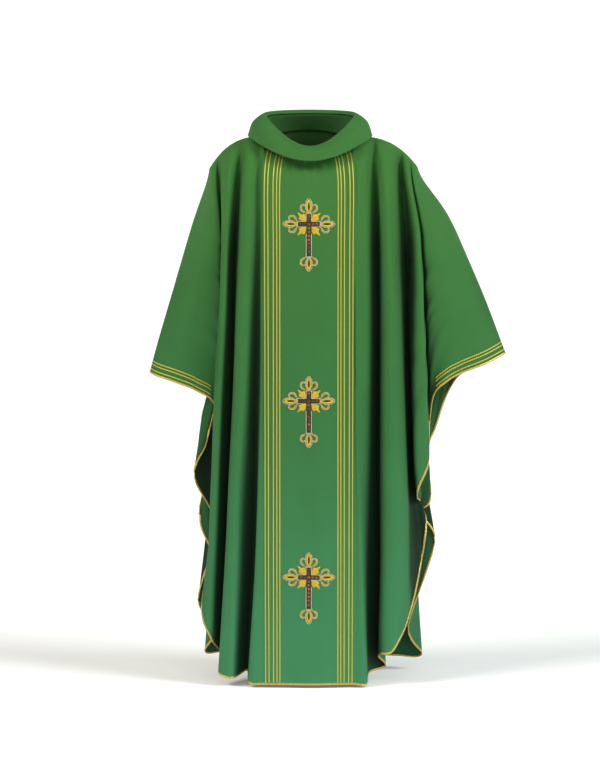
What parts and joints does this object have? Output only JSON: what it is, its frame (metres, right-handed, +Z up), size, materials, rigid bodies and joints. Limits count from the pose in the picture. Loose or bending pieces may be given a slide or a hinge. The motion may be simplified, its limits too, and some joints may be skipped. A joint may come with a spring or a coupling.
{
  "type": "chasuble",
  "caption": "Green liturgical chasuble with a rolled collar, gold-edged sleeves and hem, gold braid lines and embroidered crosses, hanging in deep folds as worn.",
  "frame": {"origin": "middle of the neck opening, at the height of the shoulders", "axes": "+Z up, -Y to the front of the wearer, +X to the right as seen from the front"},
  "size_m": [0.8513, 0.3114, 1.3557],
  "materials": {
    "cloth": "matte green crepe",
    "collar": "matte green crepe, doubled",
    "interlining": "plain stiff canvas",
    "piping": "gold metallic edging",
    "braid": "gold metallic braid",
    "embroidery": "silver cord and gold satin stitch",
    "stones": "faceted, glossy"
  },
  "bodies": {
    "root": {"back_centre_panel": "cloth", "back_cross_1_embroidery": "embroidery", "back_cross_1_stones": "stones", "back_cross_2_embroidery": "embroidery", "back_cross_2_stones": "stones", "back_cross_3_embroidery": "embroidery", "back_cross_3_stones": "stones", "back_edge_piping": "piping", "back_left_braid_1": "braid", "back_left_braid_2": "braid", "back_left_braid_3": "braid", "back_left_braid_4": "braid", "back_left_braid_5": "braid", "back_left_panel": "cloth", "back_left_sleeve_braid_1": "braid", "back_left_sleeve_braid_2": "braid", "back_left_sleeve_braid_3": "braid", "back_right_braid_1": "braid", "back_right_braid_2": "braid", "back_right_braid_3": "braid", "back_right_braid_4": "braid", "back_right_braid_5": "braid", "back_right_panel": "cloth", "back_right_sleeve_braid_1": "braid", "back_right_sleeve_braid_2": "braid", "back_right_sleeve_braid_3": "braid", "collar_inner_layer": "collar", "collar_interlining": "interlining", "collar_outer_layer": "collar", "front_centre_panel": "cloth", "front_cross_1_embroidery": "embroidery", "front_cross_1_stones": "stones", "front_cross_2_embroidery": "embroidery", "front_cross_2_stones": "stones", "front_cross_3_embroidery": "embroidery", "front_cross_3_stones": "stones", "front_edge_piping": "piping", "front_left_braid_1": "braid", "front_left_braid_2": "braid", "front_left_braid_3": "braid", "front_left_braid_4": "braid", "front_left_braid_5": "braid", "front_left_panel": "cloth", "front_left_sleeve_braid_1": "braid", "front_left_sleeve_braid_2": "braid", "front_left_sleeve_braid_3": "braid", "front_right_braid_1": "braid", "front_right_braid_2": "braid", "front_right_braid_3": "braid", "front_right_braid_4": "braid", "front_right_braid_5": "braid", "front_right_panel": "cloth", "front_right_sleeve_braid_1": "braid", "front_right_sleeve_braid_2": "braid", "front_right_sleeve_braid_3": "braid"}
  },
  "joints": []
}
